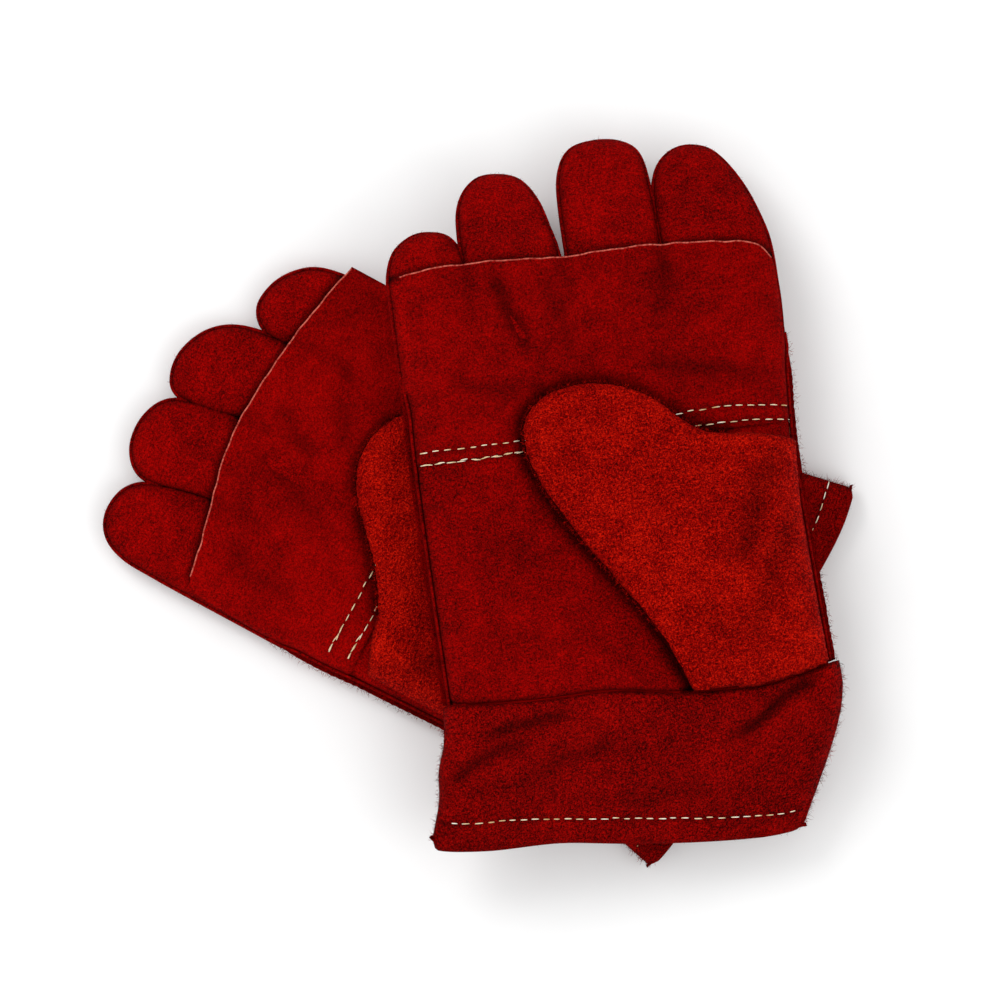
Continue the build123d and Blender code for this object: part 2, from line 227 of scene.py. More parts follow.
def waves(u, v, size, key, count=7):  # gentle uneven swells, about size millimetres across
    rng = np.random.default_rng(key)
    total = np.zeros(np.broadcast(u, v).shape)
    for _ in range(count):
        way, phase = rng.uniform(0, 2 * math.pi, 2)
        k = 2 * math.pi / (size * rng.uniform(0.7, 1.6))
        total += np.sin((u * math.cos(way) + v * math.sin(way)) * k + phase)
    return total / count


def crease(u, v, points, width, depth):  # a soft furrow along a line, which fades at its ends
    line = curve(points, 2)
    gap, foot = nearest(pairs(u, v), line, False)
    run = np.linalg.norm(foot - line[0], axis=1) / max(np.linalg.norm(line[-1] - line[0]), 1)
    fade = smooth(run * 4) * smooth((1 - run) * 4)
    return (-depth * np.exp(-((gap / width) ** 2)) * fade).reshape(np.shape(u))


def furrows(u, v, lines, narrow=1.0):
    return sum(crease(u, v, points, width * narrow, depth) for points, width, depth in lines)


swells = {  # the height, size and kind of the swells on each piece
    "palm": ((0.5, 42, 3), (0.22, 17, 5)),
    "patch": ((0.35, 26, 11),),
    "finger": ((0.35, 16, 30), (0.18, 8, 35)),
    "thumb": ((0.5, 30, 41), (0.25, 13, 43)),
    "cuff": ((0.9, 40, 51), (0.4, 18, 53)),
}


def swell(u, v, where, kind=0):
    return sum(high * waves(u, v, size, key + kind) for high, size, key in swells[where])


paintedShades = {  # how far the painted shade reaches from a seam, an edge or a furrow, and how dark it is
    "thumb": (2.3, 0.9),
    "palmSide": (1.0, 0.45),
    "palmWrist": (1.3, 0.5),
    "patchSide": (1.0, 0.35),
    "patchStitch": (0.55, 0.6),
    "patchValley": (3.0, 0.25),
    "fingerEdge": (1.3, 0.38),
    "underPatch": (1.8, 0.75),
    "thumbHeel": (1.2, 0.5),
    "cuffWrist": (1.3, 0.45),
    "cuffSide": (1.2, 0.25),
    "hemStitch": (0.6, 0.5),
}


# painted shade: darkening where shade falls in crevices, seams, stitch holes and under overlaps
def paintedShade(gap, where):
    reach, strength = paintedShades[where]
    return strength * np.exp(-((gap / reach) ** 2))


# Finishes

class Value:  # a socket that can be added and multiplied, each of which adds a Math node
    def __init__(self, finish, socket):
        self.finish, self.socket = finish, socket

    def sum(self, kind, a, b):
        return self.finish.node("ShaderNodeMath", {"operation": kind}, {0: a, 1: b})

    def __add__(self, other):
        return self.sum("ADD", self, other)

    def __radd__(self, other):
        return self.sum("ADD", other, self)

    def __sub__(self, other):
        return self.sum("SUBTRACT", self, other)

    def __rsub__(self, other):
        return self.sum("SUBTRACT", other, self)

    def __mul__(self, other):
        return self.sum("MULTIPLY", self, other)

    def __rmul__(self, other):
        return self.sum("MULTIPLY", other, self)


class Finish:
    def __init__(self, name, **fixed):
        self.material = bpy.data.materials.new(name)
        self.material.use_nodes = True
        self.tree = self.material.node_tree
        self.shader = self.tree.nodes["Principled BSDF"]
        for socket, value in fixed.items():
            self.shader.inputs[socket.replace("_", " ")].default_value = value

    def node(self, kind, settings, inputs, output=0):
        made = self.tree.nodes.new(kind)
        for setting, value in settings.items():
            if setting == "stops":
                ramp = made.color_ramp
                while len(ramp.elements) < len(value):
                    ramp.elements.new(0.5)
                for element, (at, colour) in zip(ramp.elements, value):
                    element.position, element.color = at, (*colour, 1)
            else:
                setattr(made, setting, value)
        for socket, value in inputs.items():
            if isinstance(value, Value):
                self.tree.links.new(value.socket, made.inputs[socket])
            else:
                made.inputs[socket].default_value = value
        return Value(self, made.outputs[output])

    def link(self, value, socket):
        self.tree.links.new(value.socket, self.shader.inputs[socket])

    def noise(self, where, size, detail=3.0, rough=0.55, twist=0.0):  # size is in millimetres
        facts = {"Vector": where, "Scale": 1 / (size * mm), "Detail": detail, "Roughness": rough}
        return self.node("ShaderNodeTexNoise", {}, facts | {"Distortion": twist})

    def ramp(self, value, low, high):  # 0 below low, 1 above high
        return self.node("ShaderNodeMapRange", {"interpolation_type": "SMOOTHSTEP"},
                         {"Value": value, "From Min": low, "From Max": high})

    def mix(self, factor, a, b, kind="MIX"):
        settings = {"data_type": "RGBA", "blend_type": kind}
        return self.node("ShaderNodeMix", settings, {0: factor, 6: a, 7: b}, 2)

    def stretch(self, where, scale, turn=0.0):
        facts = {"Vector": where, "Scale": scale, "Rotation": (0, 0, turn)}
        return self.node("ShaderNodeMapping", {}, facts)

    def bump(self, strength, deep, height):  # deep is in millimetres
        facts = {"Strength": strength, "Distance": deep * mm, "Height": height}
        self.link(self.node("ShaderNodeBump", {}, facts), "Normal")

    def colours(self, level, *stops):
        return self.node("ShaderNodeValToRGB", {"stops": stops}, {0: level})


suedes = {
    # deep, middle and light colour, then the strength of the nap and of the loose light fibres
    "hand": ((0.016, 0.0001, 0.0001), (0.205, 0.0004, 0.0002), (0.50, 0.0015, 0.0006), 1.25, 0.35),
    "patch": ((0.018, 0.0001, 0.0001), (0.212, 0.0004, 0.0002), (0.48, 0.0015, 0.0006), 1.1, 0.30),
    "thumb": ((0.045, 0.0002, 0.0001), (0.270, 0.0007, 0.0003), (0.74, 0.012, 0.002), 1.55, 0.60),
    "cuff": ((0.010, 0.0001, 0.0001), (0.172, 0.0004, 0.0002), (0.46, 0.0025, 0.001), 1.65, 0.45),
}


def suede(name, deep, base, light, nap, fibre):
    f = Finish(name + "Suede", Roughness=0.95, Specular_IOR_Level=0.02)
    uv = f.node("ShaderNodeTexCoord", {}, {}, 2)
    broad = f.noise(uv, 38, 2)
    blotch = f.noise(uv, 7, 4, 0.65)
    grain = f.noise(uv, 1.1, 3, 0.8, 0.3)
    fine = f.noise(uv, 0.55, 2, 0.8)
    # thin curly lines where a twisted noise passes its middle value
    curl = f.noise(uv, 1.7, 1, 0.5, 2.2)
    curlier = f.noise(f.stretch(uv, (1.3, 0.8, 1.0), 1.1), 1.3, 1, 0.5, 2.6)
    strands = 1.0 - f.ramp(f.node("ShaderNodeMath", {"operation": "ABSOLUTE"}, {0: curl - 0.52}), 0.0, 0.045)
    pits = 1.0 - f.ramp(f.node("ShaderNodeMath", {"operation": "ABSOLUTE"}, {0: curlier - 0.47}), 0.0, 0.05)
    level = broad * 0.45 + blotch * 0.55 + grain * 1.05 * nap + fine * 0.8 * nap - 0.925 * nap
    level = level + f.node("ShaderNodeAttribute", {"attribute_name": "tone"}, {}, 2)
    colour = f.colours(level, (0.12, deep), (0.5, base), (0.95, light))
    patchy = f.ramp(blotch, 0.35, 0.7)
    colour = f.mix(pits * 0.55 * f.ramp(grain, 0.62, 0.38), colour, (*deep, 1))
    colour = f.mix(strands * fibre * f.ramp(grain, 0.36, 0.6) * (patchy * 0.7 + 0.3), colour, (*light, 1))
    # painted shade: the shade attribute darkens the suede towards black where shade falls in crevices, seams
    # and under overlaps
    shade = f.node("ShaderNodeAttribute", {"attribute_name": "shade"}, {}, 2)
    colour = f.mix(shade, colour, (0.004, 0.0001, 0.0001, 1))
    f.link(colour, "Base Color")
    f.link(0.86 + grain * 0.16, "Roughness")
    height = grain * 0.35 * nap + fine * 0.2 * nap + strands * 0.25 - pits * 0.2 + blotch * 0.5
    f.bump(0.85, 0.9, height)
    return f.material


def cutEdge():  # the pale raw edge of a cut skin
    f = Finish("cutEdge", Roughness=0.95, Specular_IOR_Level=0.1)
    where = f.node("ShaderNodeTexCoord", {}, {}, 3)
    speck = f.noise(where, 1.2, 3, 0.7)
    f.link(f.colours(speck, (0.36, (0.22, 0.006, 0.004)), (0.64, (0.60, 0.13, 0.09))), "Base Color")
    f.link(0.85 + speck * 0.1, "Roughness")
    return f.material


def threadFinish():
    f = Finish("sewingThread", Roughness=0.6, Specular_IOR_Level=0.3, Sheen_Weight=0.2)
    where = f.node("ShaderNodeTexCoord", {}, {}, 3)
    tint = f.noise(where, 7, 2)
    ply = f.noise(where, 0.5, 2)
    cream = f.colours(tint * 0.8 + ply * 0.2, (0.34, (0.55, 0.30, 0.10)), (0.5, (0.80, 0.62, 0.38)),
                      (0.62, (0.90, 0.84, 0.70)))
    f.link(cream, "Base Color")
    f.link(0.5 + ply * 0.2, "Roughness")
    f.bump(0.5, 0.15, ply)
    return f.material


def fleeceFinish():
    f = Finish("fleeceLining", Roughness=1.0, Specular_IOR_Level=0.05, Sheen_Weight=0.3)
    where = f.node("ShaderNodeTexCoord", {}, {}, 3)
    tuft = f.noise(where, 1.4, 4, 0.7, 0.5)
    patchy = f.noise(where, 14, 2)
    pile = f.colours(tuft * 0.7 + patchy * 0.3, (0.3, (0.42, 0.36, 0.28)), (0.7, (0.78, 0.72, 0.62)))
    f.link(pile, "Base Color")
    f.link(0.9 + tuft * 0.1, "Roughness")
    f.bump(0.8, 0.8, tuft)
    return f.material


finishes = {name: suede(name, *facts) for name, facts in suedes.items()}
finishes.update(edge=cutEdge(), thread=threadFinish(), fleece=fleeceFinish())
slots = {name: name + "_suede" for name in suedes}
slots.update(thread="sewing_thread", fleece="fleece_lining")


# Pieces

tones = {  # how much lighter a skin is than its fellows
    "left_palmPatch": 0.09, "left_palmPanel": 0.05, "left_thumbFront": 0.03, "right_middleFront": 0.05,
    "right_ringFront": 0.03, "right_littleFront": 0.07, "right_indexFront": -0.02, "left_middleFront": 0.06,
    "left_ringFront": 0.03, "left_littleFront": 0.05,
}


def piece(side, name, spots, faces, finish, pattern=None, flip=False, thick=leather, cut=None, shade=None,
          raw=None):
    # spots are in metres where the glove lies, and pattern is where each is on its flat cut, in millimetres
    if (gloves[side]["mirror"] < 0) != flip:
        faces = faces[:, ::-1]
    mesh = bpy.data.meshes.new(side + "_" + name)
    mesh.from_pydata(spots.tolist(), [], faces.tolist())
    if pattern is not None:
        corners = np.zeros(len(mesh.loops), int)
        mesh.loops.foreach_get("vertex_index", corners)
        shift = np.array([300.0, 100.0]) if side == "left" else np.zeros(2)
        uv = (np.asarray(pattern)[:, :2] + shift)[corners] * mm
        mesh.uv_layers.new(name="cut").data.foreach_set("uv", uv.astype(np.float32).ravel())
    made = bpy.data.objects.new(mesh.name, mesh)
    bpy.context.collection.objects.link(made)
    mesh.materials.append(finishes[finish])
    if cut:
        mesh.materials.append(finishes[cut])
    for quality, values in (("shade", shade), ("tone", tones.get(mesh.name))):
        if values is not None:
            values = np.clip(values, -1, 1) if quality == "tone" else np.clip(values, 0, 1)
            values = np.broadcast_to(values, len(spots)).astype(np.float32)
            mesh.attributes.new(quality, "FLOAT", "POINT").data.foreach_set("value", values)
    if raw is not None:
        mesh.polygons.foreach_set("material_index", raw.astype(np.int32))
    mesh.shade_smooth()
    if thick:
        skin = made.modifiers.new("skin", "SOLIDIFY")
        skin.thickness, skin.offset = thick * mm, -1
        skin.material_offset_rim = 1 if cut else 0
        apply(made)
    return made


def apply(made):
    bpy.ops.object.select_all(action="DESELECT")
    bpy.context.view_layer.objects.active = made
    made.select_set(True)
    for modifier in list(made.modifiers):
        bpy.ops.object.modifier_apply(modifier=modifier.name)


def area(ring):
    x, y = ring.T
    return abs((x * np.roll(y, -1) - np.roll(x, -1) * y).sum()) / 2 * mm * mm


def cloth(ring):
    size = (ring.max(0) - ring.min(0)) * mm
    area(ring)


def rolled(points, ring, reach):
    # points outside the outline go over its edge: they come back in, and fall as the quarter turn is passed
    gap, foot = nearest(points, ring)
    out = ~within(points, ring)
    turn = np.where(out, gap / reach * math.pi * 0.75, 0)
    radius = reach / (math.pi * 0.75)
    way = (foot - points) / np.maximum(gap, 1e-6)[:, None]
    spots = np.where(out[:, None], foot + way * (radius * (1 - np.cos(turn)))[:, None], points)
    fall = np.sin(np.minimum(turn, math.pi / 2)) + np.maximum(turn - math.pi / 2, 0)
    drop = np.where(out, radius * fall, 0)
    return spots, np.where(out, 0, gap), drop


hands = {
    "right": {
        "littleEdge": [(-75, 124), (-76, 95), (-75.5, 50), (-74.4, 1)],
        "thumbEdge": [(73.2, 1), (71, 45), (69.5, 83), (70.5, 110), (70, 124)],
        "wrist": [(-74.4, 2), (-60, 0.8), (-36, -0.5), (-17, 0), (0, -2), (18, -4.4), (44, -5), (60, -2.2),
                  (73.2, 1)],
        "palmTop": 94.0,
        "creases": [([(-60, 60), (-36, 50), (-14, 44)], 6, 0.5), ([(-70, 30), (-40, 22), (0, 16)], 6, 0.6)],
    },
    "left": {
        "littleEdge": [(-67.5, 124), (-70.5, 95), (-72, 50), (-73, 1)],
        "thumbEdge": [(71, 1), (70.6, 45), (71.2, 83), (72, 105), (71, 124)],
        "wrist": [(-73, 1), (-36, 0), (15, 0.5), (45, -0.5), (71.5, 1)],
        "palmTop": 94.0,
        "creases": [([(-60, 60), (-36, 50), (-14, 44)], 6, 0.5)],
    },
    "band": 3.0,  # width of the back's edge that shows beside the palm
    "lip": 6.5,  # how much of the back turns up round the edge
    "furrowShade": 0.2,
}


def sideLines(side):
    return curve(hands[side]["littleEdge"]), curve(hands[side]["thumbEdge"])


def sidesAt(side, v):  # where the two side seams are, across the hand at v
    little, thumb = (line[np.argsort(line[:, 1])] for line in sideLines(side))
    return np.interp(v, little[:, 1], little[:, 0]), np.interp(v, thumb[:, 1], thumb[:, 0])


def bandAt(v):  # the band closes as the fingers begin
    return hands["band"] * (1 - smooth((v - 108) / 22))


def sideGap(side, u, v):  # how far a point lies inside the side seams
    left, right = sidesAt(side, v)
    return np.minimum(u - left - bandAt(v), right - bandAt(v) - u)


def seamV(side, u):  # the wrist seam wanders
    return np.interp(u, *np.array(hands[side]["wrist"], float).T)


def thumbGap(side, u, v):
    return nearest(pairs(u, v), curve(thumbs[side]["free"], 3), False)[0].reshape(np.shape(u))


def palmTop(side, u, v):
    top = gloves[side]["thick"]
    crown = seamZ + 1.0 + (top - seamZ - 1.6) * rounded(sideGap(side, u, v) / 15)
    wrist = top * 0.84 + (top * 0.16) * rounded((v - seamV(side, u)) / 16)
    z = lower(crown, wrist)
    z += swell(u, v, "palm")
    return np.minimum(z, top - 0.1) - 2.6 * np.exp(-((thumbGap(side, u, v) / 3.4) ** 2))


def trimmed(flat, faces, keep):
    faces = faces[keep[faces].all(1)]
    used = np.unique(faces)
    again = np.zeros(len(flat), int)
    again[used] = np.arange(len(used))
    return used, again[faces]


def handBack(side):
    facts = hands[side]
    little, thumb = sideLines(side)
    far = curve([facts["thumbEdge"][-1], facts["littleEdge"][0]])
    ring = joined(little, curve(facts["wrist"]), thumb, far)
    lip = hands["lip"]
    outer = grown(ring, lip)
    flat, faces = filled(outer)
    used, faces = trimmed(flat, faces, (flat[:, 1] < 124.5) & (flat[:, 1] > -1.6))
    flat = flat[used]
    spots, _, rise = rolled(flat, ring, lip)
    gap = sideGap(side, spots[:, 0], spots[:, 1]) + hands["band"]
    z = (seamZ - 1.4) * (1 - rounded(gap / 9)) + rise + 0.25
    made = piece(side, "backPanel", lay(side, spots[:, 0], spots[:, 1], z), faces, "hand", flat, True)
    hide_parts(side + "_back_panel")
    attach(made, side + "_hand")
    cloth(outer)


def palmFront(side):
    facts = hands[side]
    little, thumb = sideLines(side)
    left, right = (line[line[:, 1] < facts["palmTop"]] for line in (little, thumb))
    left, right = shifted(left, bandAt(left[:, 1])), shifted(right, -bandAt(right[:, 1]))
    seam = curve(facts["wrist"]) + [0, 0.5]
    seam = seam[(seam[:, 0] > left[-1, 0] + 0.8) & (seam[:, 0] < right[0, 0] - 0.8)]
    left, right = left[left[:, 1] > 2.6], right[right[:, 1] > 1.6]
    ring = np.vstack([left, seam, right, evenly(np.array([right[-1], left[0]]), 1.6)[1:-1]])
    flat, faces = filled(ring)
    u, v = flat.T
    z = palmTop(side, u, v)
    # painted shade along the thumb's free edge, the side seams, the wrist seam and in the furrows
    shade = paintedShade(thumbGap(side, u, v), "thumb") + paintedShade(sideGap(side, u, v), "palmSide")
    shade = shade + paintedShade(v - seamV(side, u) - 0.5, "palmWrist")
    furrow = furrows(u, v, facts["creases"])
    z, shade = z + furrow, shade - hands["furrowShade"] * furrow
    made = piece(side, "palmPanel", lay(side, u, v, z), faces, "hand", flat, shade=shade)
    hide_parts(side + "_palm_panel")
    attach(made, side + "_hand")
    cloth(ring)


patches = {  # the layer over the finger bases: its free edge, its rows of stitching and its furrows
    "right": {
        "free": [(-74.4, 161.4), (-47, 162.9), (-11, 161.4), (8, 161.6), (27, 161.5), (50, 159.8),
                 (62, 157.4), (67.3, 152)],
        "corner": [(67.3, 152), (69.2, 143), (69.4, 132)],
        "creases": [([(-38, 162), (-33, 144), (-25, 125)], 4.0, 1.7),
                    ([(-20, 158), (-14, 138), (-8, 122)], 4.5, 0.9),
                    ([(28, 162), (24, 146), (20, 128)], 5.0, 0.9), ([(-60, 120), (-30, 112)], 5, 0.7),
                    ([(8, 120), (36, 114), (67, 107)], 4.5, 1.1)],
        "valleys": (-46.5, -10.5, 27.0),
    },
    "left": {
        "free": [(-67.5, 160.5), (-50, 164.5), (-28, 168.6), (2, 171.2), (20, 169.6), (37, 165.8),
                 (52, 162.5), (63, 160.6)],
        "corner": [(63, 160.6), (67.4, 157), (68.6, 148), (69.6, 132)],
        "creases": [([(-40, 150), (-20, 138), (0, 130)], 4.5, 1.0),
                    ([(10, 160), (16, 140), (26, 126)], 5.0, 1.0),
                    ([(-10, 165), (-4, 150), (6, 138)], 4.0, 0.8),
                    ([(44, 158), (50, 140), (52, 118)], 6.0, 0.7)],
        "valleys": (-33.0, 0.5, 33.0),
    },
    "low": 89.2,  # its edge at the wrist side
    "lift": 1.45,
    "sag": 1.3,  # how far it sinks between two fingers
    "furrowShade": 0.36,
}


def patchTop(side, u, v):
    facts = patches[side]
    top = gloves[side]["thick"]
    z = palmTop(side, u, np.minimum(v, 118)) + patches["lift"] * smooth((v - patches["low"]) / 2.5)
    z = z + 0.25
    for valley in facts["valleys"]:
        z = z - patches["sag"] * np.exp(-(((u - valley) / 4.5) ** 2)) * smooth((v - 128) / 24)
    z = z + furrows(u, v, facts["creases"]) + swell(u, v, "patch")
    for row in stitches["rows"]:
        z = z - 0.35 * np.exp(-(((v - row) / 0.9) ** 2))
    z = z + 0.7 * smooth((v - 152) / 12) * (1 + 0.8 * waves(u, v, 30, 13))
    return np.minimum(z, top + 2.6)


def patch(side):
    facts = patches[side]
    little, thumb = sideLines(side)
    edge = little[little[:, 1] > patches["low"]]
    edge = shifted(edge, bandAt(edge[:, 1]))
    left = np.vstack([evenly(np.array([facts["free"][0], edge[0]]), 1.6)[:-1], edge])
    right = thumb[(thumb[:, 1] > patches["low"]) & (thumb[:, 1] < 120)]
    right = shifted(right, -bandAt(right[:, 1]))
    corner = curve(facts["corner"] + [tuple(right[-1])])
    free = curve(facts["free"], 1.0)
    free[1:-1, 1] += 0.45 * waves(free[1:-1, 0], 0 * free[1:-1, 0], 9, 17)
    ring = joined(left, evenly(np.array([left[-1], right[0]]), 1.6), right, corner[::-1], free[::-1])
    flat, faces = filled(ring)
    u, v = flat.T
    z = patchTop(side, u, v)
    # painted shade along the thumb's edge, the side seams, the furrows, the stitch rows and the valleys
    # between the fingers beneath
    shade = paintedShade(thumbGap(side, u, v), "thumb") + paintedShade(sideGap(side, u, v), "patchSide")
    shade = shade - patches["furrowShade"] * furrows(u, v, facts["creases"], 0.8)
    for line, _ in stitches[side]:
        shade = shade + paintedShade(nearest(flat, curve(line), False)[0], "patchStitch")
    for valley in facts["valleys"]:
        shade = shade + paintedShade(u - valley, "patchValley") * smooth((v - 135) / 20)
    raw = nearest(flat[faces].mean(1), free, False)[0] < 0.34
    made = piece(side, "palmPatch", lay(side, u, v, z), faces, "patch", flat, cut="edge", shade=shade,
                 raw=raw)
    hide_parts(side + "_palm_patch")
    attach(made, side + "_hand")
    cloth(ring)


stitches = {  # the rows across the patch, and for each run whether its thread is doubled
    "rows": (90.8, 95.4),
    "right": [([(-72, 95.2), (-50, 95.3), (-35, 95.5), (0, 97), (31, 98.7), (45, 98.9), (66, 96.4)], False),
              ([(-72, 90.8), (-50, 90.7), (-33, 91.2)], True),
              ([(-32, 91.2), (0, 92), (41, 93), (67.3, 91.2)], False), ([(66.3, 86.4), (66.3, 91)], False)],
    "left": [([(-66, 99), (-20, 100), (26, 101), (52, 101.4)], False), ([(52, 101.4), (64, 101.5)], True),
             ([(-66, 93), (-20, 93), (32, 93.2), (52, 93.6)], False), ([(52, 93.6), (63, 94)], True)],
    "long": 3.0,
    "gap": 1.5,
    "thick": 0.22,  # radius
    "bow": 0.62,  # how high a stitch stands over the leather
}


def stitchRun(line, height, heavy, rng):
    # each stitch is a short bowed thread that dives into the leather at both ends
    spots, faces = [], []
    at = 0.0
    line = curve(line, 0.5)
    run = np.concatenate([[0], np.cumsum(np.linalg.norm(np.diff(line, axis=0), axis=1))])
    rounds, sides = 8, 6
    t = np.linspace(0, 1, rounds)
    taper = np.sqrt(np.maximum(np.sin(math.pi * (0.06 + 0.88 * t)), 0.05))
    while at < run[-1]:
        long = stitches["long"] * rng.uniform(0.8, 1.15)
        for copy in range(2 if heavy else 1):
            s = at + long * t + copy * 1.1
            u, v = np.interp(s, run, line[:, 0]), np.interp(s, run, line[:, 1])
            wander = rng.uniform(-0.25, 0.25) + (rng.uniform(-0.5, 0.5) * t if heavy else 0)
            thick = stitches["thick"] * rng.uniform(0.85, 1.1) * taper
            z = height(u, v) + stitches["bow"] * np.sin(math.pi * t) - 0.22 + copy * 0.2
            ring = np.arange(sides) / sides * 2 * math.pi
            uu = np.repeat(u, sides)
            vv = np.repeat(v + wander, sides) + np.outer(thick, np.cos(ring)).ravel()
            zz = np.repeat(z, sides) + np.outer(thick, np.sin(ring)).ravel()
            base = sum(len(p) for p in spots)
            spots.append(np.stack([uu, vv, zz], 1))
            faces += [tuple(base + k for k in face) for face in gridFaces(rounds, sides, True)]
            faces.append(tuple(base + k for k in range(sides))[::-1])
            faces.append(tuple(base + (rounds - 1) * sides + k for k in range(sides)))
        at += long + stitches["gap"] * rng.uniform(0.7, 1.2)
    return spots, faces


def sewn(side, name, runs, height, node, rides):
    rng = np.random.default_rng(21)
    spots, faces = [], []
    for line, heavy in runs:
        base = sum(len(p) for p in spots)
        newSpots, newFaces = stitchRun(line, height, heavy, rng)
        spots += newSpots
        faces += [tuple(base + k for k in face) for face in newFaces]
    local = np.vstack(spots)
    mirrored = gloves[side]["mirror"] < 0
    mesh = bpy.data.meshes.new(side + "_" + name)
    faces = [face[::-1] for face in faces] if mirrored else faces
    mesh.from_pydata(lay(side, *local.T).tolist(), [], faces)
    mesh.shade_smooth()
    mesh.materials.append(finishes["thread"])
    made = bpy.data.objects.new(mesh.name, mesh)
    bpy.context.collection.objects.link(made)
    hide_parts(node)
    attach(made, rides)


fibres = {"thick": 0.085, "long": (0.7, 2.0), "bend": 0.8}  # loose ends of suede, in millimetres


def fuzz(side, name, roots, out, finish, perMm=3.0, long=fibres["long"]):
    # loose fibres along a line: each starts on it, leaves roughly along out and curls
    rng = np.random.default_rng(len(roots) + 77)
    run = np.concatenate([[0], np.cumsum(np.linalg.norm(np.diff(roots, axis=0), axis=1))])
    count = int(run[-1] * perMm)
    at = np.sort(rng.uniform(0, run[-1], count))
    root = np.stack([np.interp(at, run, roots[:, k]) for k in range(3)], 1) + rng.normal(0, 0.35, (count, 3))
    way = np.stack([np.interp(at, run, out[:, k]) for k in range(2)], 1)
    way = np.hstack([way, rng.uniform(-0.5, 0.5, (count, 1))]) + rng.normal(0, 0.45, (count, 3))
    way /= np.linalg.norm(way, axis=1)[:, None]
    turnTo = np.cross(way, rng.normal(0, 1, (count, 3)))
    turnTo /= np.linalg.norm(turnTo, axis=1)[:, None]
    reach = rng.uniform(*long, count) * rng.uniform(0.4, 1.0, count)
    steps = 5
    spots = []
    for k in range(steps):
        t = k / (steps - 1)
        middle = root + way * (t * reach)[:, None] + turnTo * (t * t * reach * fibres["bend"])[:, None]
        wide = fibres["thick"] * (1 - 0.7 * t)
        for corner in range(3):
            a = corner * 2 * math.pi / 3
            aside = turnTo * math.cos(a) + np.cross(way, turnTo) * math.sin(a)
            spots.append(middle + aside * wide)
    spots = np.stack(spots, 1).reshape(-1, 3)
    one = gridFaces(steps, 3, True)[:, ::-1]
    faces = (one[None] + (np.arange(count) * steps * 3)[:, None, None]).reshape(-1, 4)
    flat = np.repeat(root[:, :2], steps * 3, axis=0)
    return piece(side, name, lay(side, *spots.T), faces, finish, flat, False, 0)


fingers = {  # the outline of each finger, from its base on the little-finger side round the tip
    "right": {
        "little": [(-74.5, 118), (-75, 150), (-74.7, 163), (-71.5, 173), (-65, 178.4), (-58.4, 179.5),
                   (-51, 177), (-47.2, 169), (-46.2, 155), (-46.4, 118)],
        "ring": [(-45.6, 118), (-46.3, 150), (-46.4, 178), (-44, 191), (-37.5, 198.6), (-29.5, 199.6),
                 (-21.5, 196.6), (-16.2, 188), (-13.2, 176), (-11.4, 166), (-10.4, 150), (-10.4, 118)],
        "middle": [(-9.6, 118), (-8.0, 150), (-7.6, 182), (-6.0, 197), (-1.0, 206), (8, 208.6), (18, 207.2),
                   (24.4, 201), (26.4, 184), (26.8, 160), (26.6, 118)],
        "index": [(27.4, 118), (27.6, 150), (27.4, 180), (30, 193.5), (36, 200.5), (44, 202.2),
                  (52.5, 198.2), (60.5, 185), (65.5, 169), (67.8, 152), (68.4, 118)],
    },
    "left": {
        "little": [(-62.5, 118), (-63, 150), (-62.5, 163), (-60, 172.5), (-54, 179.6), (-46.5, 183.6),
                   (-38, 184.2), (-32, 179), (-30.4, 169), (-32.4, 118)],
        "ring": [(-32, 118), (-31.6, 150), (-31, 170), (-28, 187), (-21, 197), (-10, 202), (0, 201),
                 (5, 195.5), (4.6, 182), (1.4, 166), (0, 118)],
        "middle": [(0.6, 118), (1.2, 150), (1.8, 170), (4.4, 188), (9.4, 198.8), (19, 203.4), (30, 202.4),
                   (37.4, 196), (38, 186), (34.4, 166), (33, 118)],
        "index": [(33.4, 118), (33.4, 150), (34, 168), (38.8, 188), (45.5, 197), (56, 199), (64, 195),
                  (68.2, 186), (69.2, 172), (69.6, 156), (70.2, 118)],
    },
    "round": 12.5,  # how far in from its edge a finger is rounded
    "blendFrom": 159.5,  # start and end points along the finger are laid out at these two, but nothing uses them
    "blendTo": 177.0,
    "deep": 8.2,  # its middle below its top
}


def seamAt(side, v):  # the side seam climbs from the hand's to the finger's
    return seamZ + 0.5 + (gloves[side]["thick"] - 8.7 - seamZ) * smooth((v - 118) / 35)


def fingerUnder(side, gap, v):
    middle = seamAt(side, v) - 1.2
    low = (gloves[side]["thick"] - fingerDeep) * smooth((v - 122) / 40) + 0.4
    return middle - (middle - low) * rounded(gap / 9)


def fingerTop(side, name, gap, u, v):
    top = gloves[side]["thick"]
    middle = seamAt(side, v)
    z = middle + 1.2 + (top - 0.9 - middle - 1.2) * rounded(gap / fingers["round"])
    return z + swell(u, v, "finger", list(fingers[side]).index(name)) * smooth(gap / 5)


